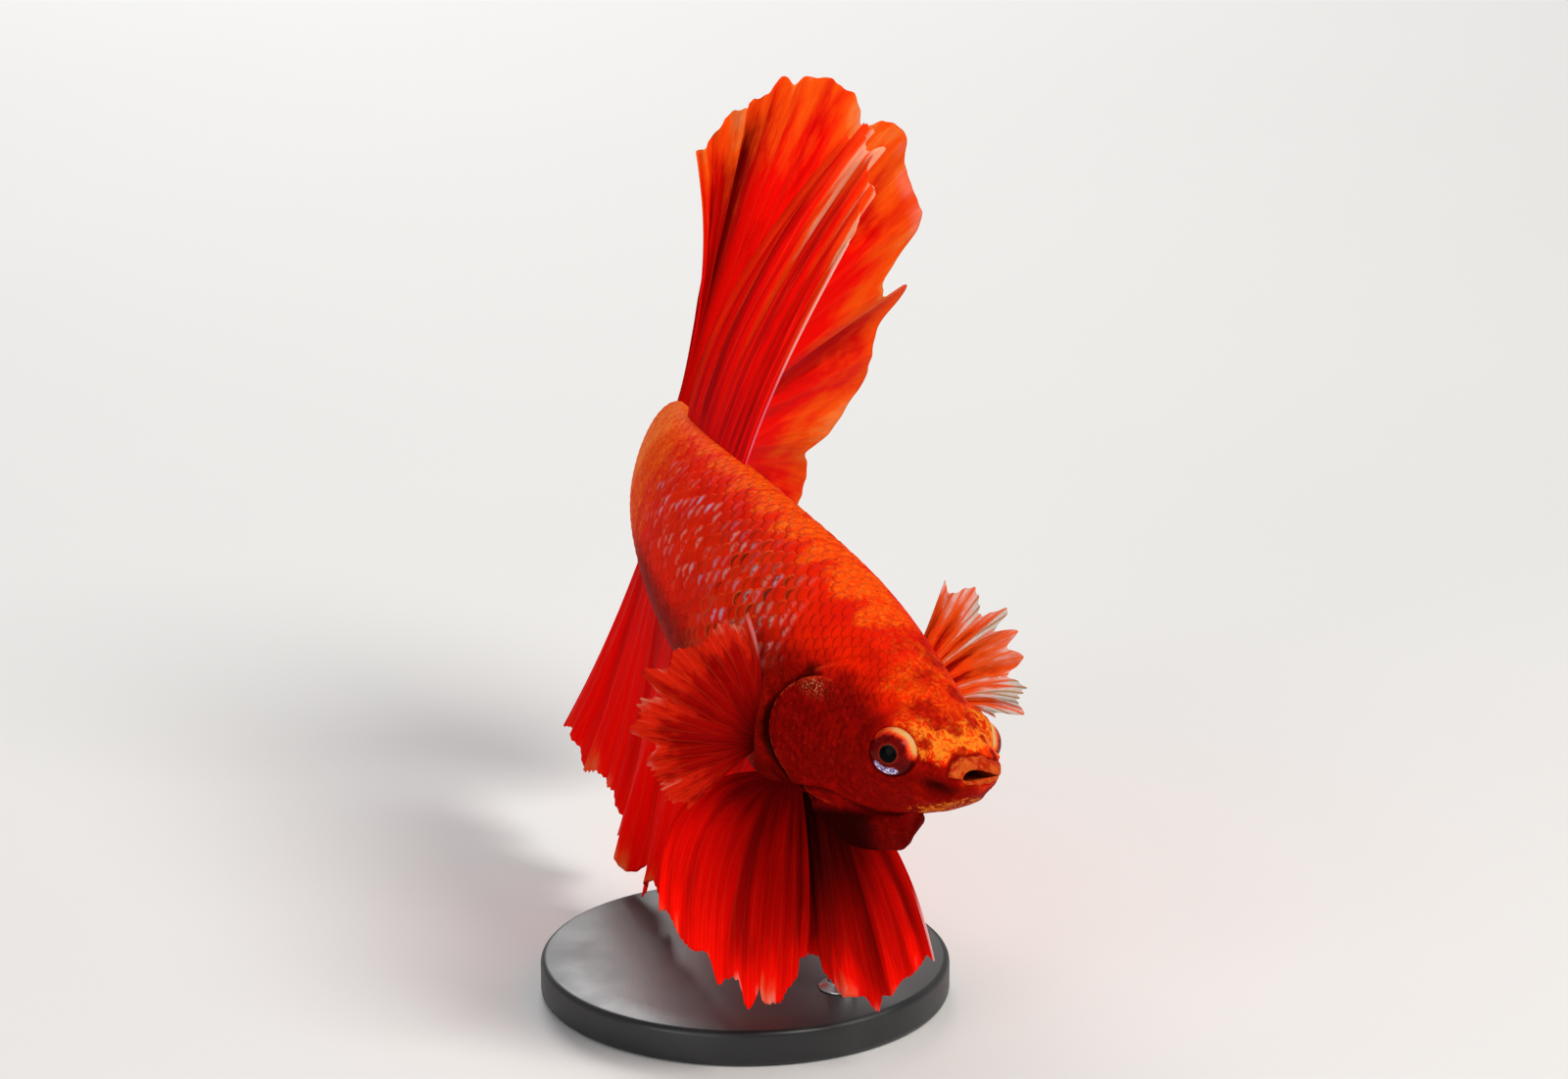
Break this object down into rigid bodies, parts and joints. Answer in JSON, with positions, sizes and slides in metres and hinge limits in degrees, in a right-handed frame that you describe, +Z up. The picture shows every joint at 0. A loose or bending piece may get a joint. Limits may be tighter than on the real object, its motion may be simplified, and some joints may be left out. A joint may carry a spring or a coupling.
{
  "type": "betta fish on a display stand",
  "caption": "Life-size male betta fish, body curved in a swimming turn with long pleated fins spread, held on a round flat base by a short rod.",
  "frame": {"origin": "middle of the underside of the stand's round base, on the floor", "axes": "+Z up; the fish swims towards -Y, with its left side towards +X"},
  "size_m": [0.0354, 0.0538, 0.0492],
  "materials": {
    "flesh": "scaly, satin with wet gloss, red with an orange back",
    "fin_membrane": "thin pleated membrane with rays, red to orange, pale tips",
    "eye": "clear wet gloss over a red iris and a black pupil",
    "stand_base": "satin black",
    "stand_rod": "brushed"
  },
  "bodies": {
    "root": {"head": "flesh", "lower_jaw": "flesh", "gill_membrane": "flesh", "trunk_front": "flesh", "trunk_rear": "flesh", "tail_stalk": "flesh", "gill_cover_right": "flesh", "gill_cover_left": "flesh", "eye_right": "eye", "eye_left": "eye", "dorsal_fin": "fin_membrane", "caudal_fin": "fin_membrane", "anal_fin": "fin_membrane", "pelvic_fin_right": "fin_membrane", "pelvic_fin_left": "fin_membrane", "pectoral_fin_right": "fin_membrane", "pectoral_fin_left": "fin_membrane", "stand_base": "stand_base", "stand_rod": "stand_rod"}
  },
  "joints": []
}
